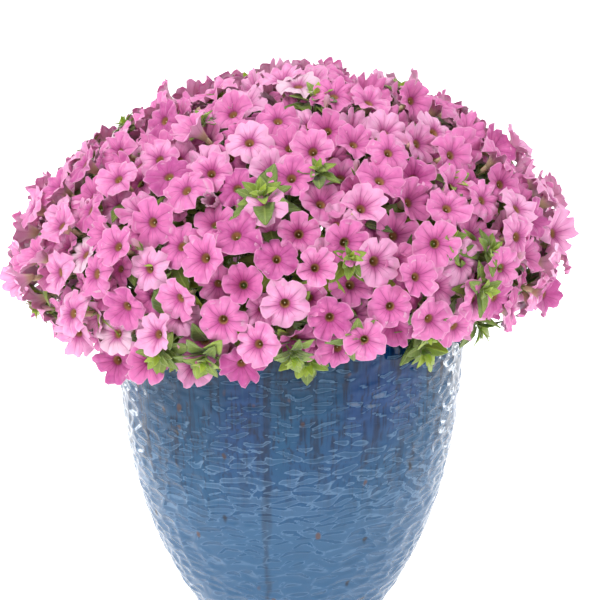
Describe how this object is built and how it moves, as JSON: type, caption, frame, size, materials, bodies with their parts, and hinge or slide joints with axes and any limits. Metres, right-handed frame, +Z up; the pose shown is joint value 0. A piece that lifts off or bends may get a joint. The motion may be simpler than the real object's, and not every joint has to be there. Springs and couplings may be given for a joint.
{
  "type": "potted petunia",
  "caption": "Mounded petunia in full pink bloom, standing in a tall round glazed pot that narrows to a foot.",
  "frame": {"origin": "middle of the pot's foot, on the surface that it stands on", "axes": "+Z up along the pot's axis, -Y towards the front of the plant, +X to its right as seen from the front"},
  "size_m": [0.7306, 0.7297, 0.759],
  "materials": {
    "glaze": "glossy blue glaze over a hammered, rippled wall",
    "soil": "loose dark potting mix of bark and peat",
    "petals": "soft pink petals with darker veins and throats",
    "leaves": "soft green leaves with a dull sheen"
  },
  "bodies": {
    "root": {"pot": "glaze", "potting_soil": "soil", "crown_spray": "petals", "upper_spray_1": "petals", "upper_spray_2": "petals", "upper_spray_3": "petals", "upper_spray_4": "petals", "upper_spray_5": "petals", "lower_spray_1": "petals", "lower_spray_2": "petals", "lower_spray_3": "petals", "lower_spray_4": "petals", "lower_spray_5": "petals", "lower_spray_6": "petals", "lower_spray_7": "petals", "lower_spray_8": "petals", "lower_spray_9": "petals", "lower_spray_10": "petals", "top_shoot_1": "leaves", "top_shoot_2": "leaves", "top_shoot_3": "leaves", "top_shoot_4": "leaves", "top_shoot_5": "leaves", "side_shoot_1": "leaves", "side_shoot_2": "leaves", "side_shoot_3": "leaves", "side_shoot_4": "leaves", "side_shoot_5": "leaves", "rim_shoot_1": "leaves", "rim_shoot_2": "leaves", "rim_shoot_3": "leaves", "rim_shoot_4": "leaves", "rim_shoot_5": "leaves", "rim_shoot_6": "leaves", "rim_shoot_7": "leaves", "rim_shoot_8": "leaves", "rim_shoot_9": "leaves", "rim_shoot_10": "leaves"}
  },
  "joints": []
}
